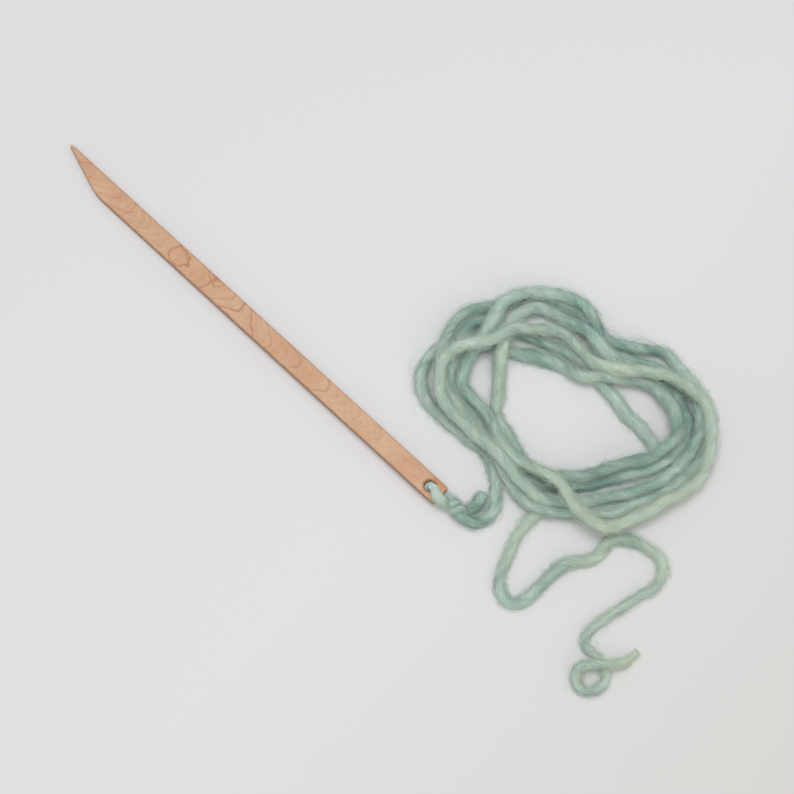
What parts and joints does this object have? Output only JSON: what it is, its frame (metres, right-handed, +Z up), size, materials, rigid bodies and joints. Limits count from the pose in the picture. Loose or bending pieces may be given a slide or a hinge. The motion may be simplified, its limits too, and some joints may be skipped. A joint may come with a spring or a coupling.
{
  "type": "threaded weaving needle",
  "caption": "Long flat wooden needle with a slanting point and a drilled eye, threaded with bulky wool that is tied on and lies in a loose coil with a free tail.",
  "frame": {"origin": "on the table, below the middle of the needle", "axes": "+X runs along the needle from its point to its eye, +Y towards its straight back edge and the coil of wool, +Z up from the table"},
  "size_m": [0.3372, 0.137, 0.0178],
  "materials": {
    "maple": "sanded bare maple with fine brown figure, edges toasted darker by the cutting beam",
    "wool": "thick and thin single-ply wool roving, hand dyed in sea greens, softly fuzzy"
  },
  "bodies": {
    "root": {"needle": "maple", "yarn_lead": "wool", "yarn_short_end": "wool", "yarn_coil": "wool", "yarn_tail": "wool"}
  },
  "joints": []
}
